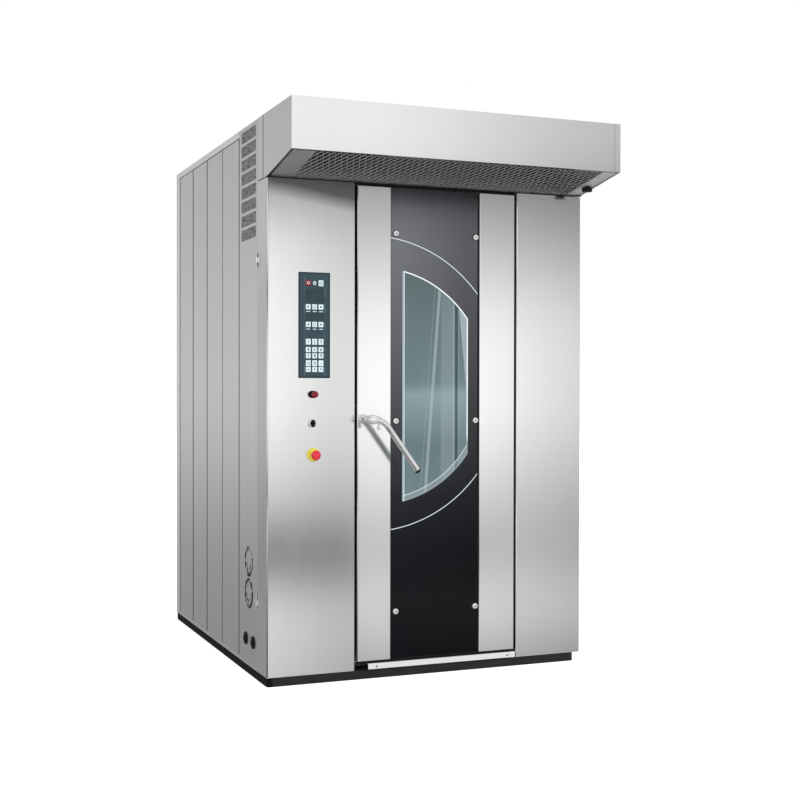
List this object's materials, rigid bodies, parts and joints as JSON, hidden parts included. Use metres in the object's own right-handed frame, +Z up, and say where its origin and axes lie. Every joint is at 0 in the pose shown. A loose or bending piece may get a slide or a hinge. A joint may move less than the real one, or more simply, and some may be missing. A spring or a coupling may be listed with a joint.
{
  "type": "rotating rack oven",
  "caption": "Upright bakery oven for a rolling rack: insulated stainless cabinet, steam hood, glazed swing door with lever latch, hinged control cover, and a turning rack hook.",
  "frame": {"origin": "middle of the plinth's underside, on the floor, halfway between the side faces and between the front face and the rear face without the hood", "axes": "+Z up, -Y towards the front with the door, +X to the right seen from the front"},
  "size_m": [1.4393, 1.99, 2.36],
  "materials": {
    "plinth_black": "matt black coated steel",
    "bright_steel": "polished stainless steel",
    "side_steel": "satin stainless steel sheet",
    "front_steel": "fine brushed stainless steel sheet",
    "hood_mesh": "dark expanded metal",
    "black_plastic": "black moulded plastic",
    "chamber_steel": "mill-finish stainless steel",
    "fittings": "machined steel",
    "insulation": "mineral wool behind sheet",
    "motor_paint": "grey-blue enamel",
    "dark_glass": "black backed toughened glass",
    "clear_glass": "clear toughened glass",
    "seal_rubber": "black silicone seal",
    "keypad_slate": "slate membrane keypad",
    "stop_yellow": "yellow plastic",
    "stop_red": "red plastic",
    "reset_red": "dark red plastic"
  },
  "bodies": {
    "cabinet": {"plinth": "plinth_black", "chamber_floor": "bright_steel", "door_sill": "bright_steel", "left_panel_1": "side_steel", "left_panel_2": "side_steel", "left_panel_3": "side_steel", "left_panel_4": "side_steel", "left_panel_5": "side_steel", "right_panel_1": "side_steel", "right_panel_2": "side_steel", "rear_panel": "side_steel", "right_front_panel": "front_steel", "roof_panel": "side_steel", "front_header": "front_steel", "hood_shell": "front_steel", "hood_grille": "hood_mesh", "hood_drain_plug": "black_plastic", "jamb_left": "chamber_steel", "jamb_right": "chamber_steel", "latch_keeper": "fittings", "hinge_bracket_lower": "fittings", "hinge_bracket_upper": "fittings", "insulated_shell": "insulation", "chamber_wall_left": "chamber_steel", "chamber_wall_right": "chamber_steel", "chamber_wall_rear": "chamber_steel", "chamber_ceiling": "chamber_steel", "heating_elements": "fittings", "fan_motor": "motor_paint", "rack_gearmotor": "motor_paint", "vent_mesh": "hood_mesh", "cable_gland_front": "black_plastic", "cable_gland_rear": "black_plastic", "electrics_plate": "fittings"},
    "door": {"door_core": "insulation", "door_stile_left": "front_steel", "door_stile_right": "front_steel", "door_glass": "dark_glass", "glass_bolt_1": "bright_steel", "glass_bolt_2": "bright_steel", "glass_bolt_3": "bright_steel", "glass_bolt_4": "bright_steel", "glass_bolt_5": "bright_steel", "glass_bolt_6": "bright_steel", "window_frame": "chamber_steel", "inner_glass": "clear_glass", "door_liner": "chamber_steel", "door_gasket": "seal_rubber", "handle_base": "bright_steel"},
    "handle": {"handle_lever": "bright_steel", "handle_end_cap": "black_plastic", "latch_cam": "fittings"},
    "control_cover": {"control_cover": "front_steel", "keypad": "keypad_slate", "estop_base": "stop_yellow"},
    "estop_button": {"estop_button": "stop_red"},
    "selector_knob": {"selector_knob": "black_plastic"},
    "reset_button": {"reset_button": "reset_red"},
    "rack_hook": {"rack_hook": "fittings"},
    "fan_impeller": {"fan_impeller": "fittings"}
  },
  "joints": [
    {"name": "door_swing", "type": "hinge", "parent": "cabinet", "child": "door", "pos_m": [0.381, -0.816, 1.05], "axis": [0, 0, 1], "range_deg": [0, 105]},
    {"name": "handle_turn", "type": "hinge", "parent": "door", "child": "handle", "pos_m": [-0.303, -0.83, 1.073], "axis": [0, -1, 0], "range_deg": [0, 75]},
    {"name": "control_cover_swing", "type": "hinge", "parent": "cabinet", "child": "control_cover", "pos_m": [-0.72, -0.69565, 1.02], "axis": [0, 0, -1], "range_deg": [0, 100]},
    {"name": "estop_push", "type": "slide", "parent": "control_cover", "child": "estop_button", "axis": [0, 1, 0], "range_m": [0, 0.006]},
    {"name": "selector_turn", "type": "hinge", "parent": "control_cover", "child": "selector_knob", "pos_m": [-0.525, -0.83, 1.057], "axis": [0, -1, 0], "range_deg": [-60, 60]},
    {"name": "reset_push", "type": "slide", "parent": "control_cover", "child": "reset_button", "axis": [0, 1, 0], "range_m": [0, 0.003], "stiffness_N_per_m": 400},
    {"name": "rack_hook_spin", "type": "hinge", "parent": "cabinet", "child": "rack_hook", "pos_m": [0.031, -0.115, 1.95], "axis": [0, 0, 1], "continuous": true},
    {"name": "fan_spin", "type": "hinge", "parent": "cabinet", "child": "fan_impeller", "pos_m": [0.031, 0.47, 1.5], "axis": [0, 1, 0], "continuous": true}
  ]
}
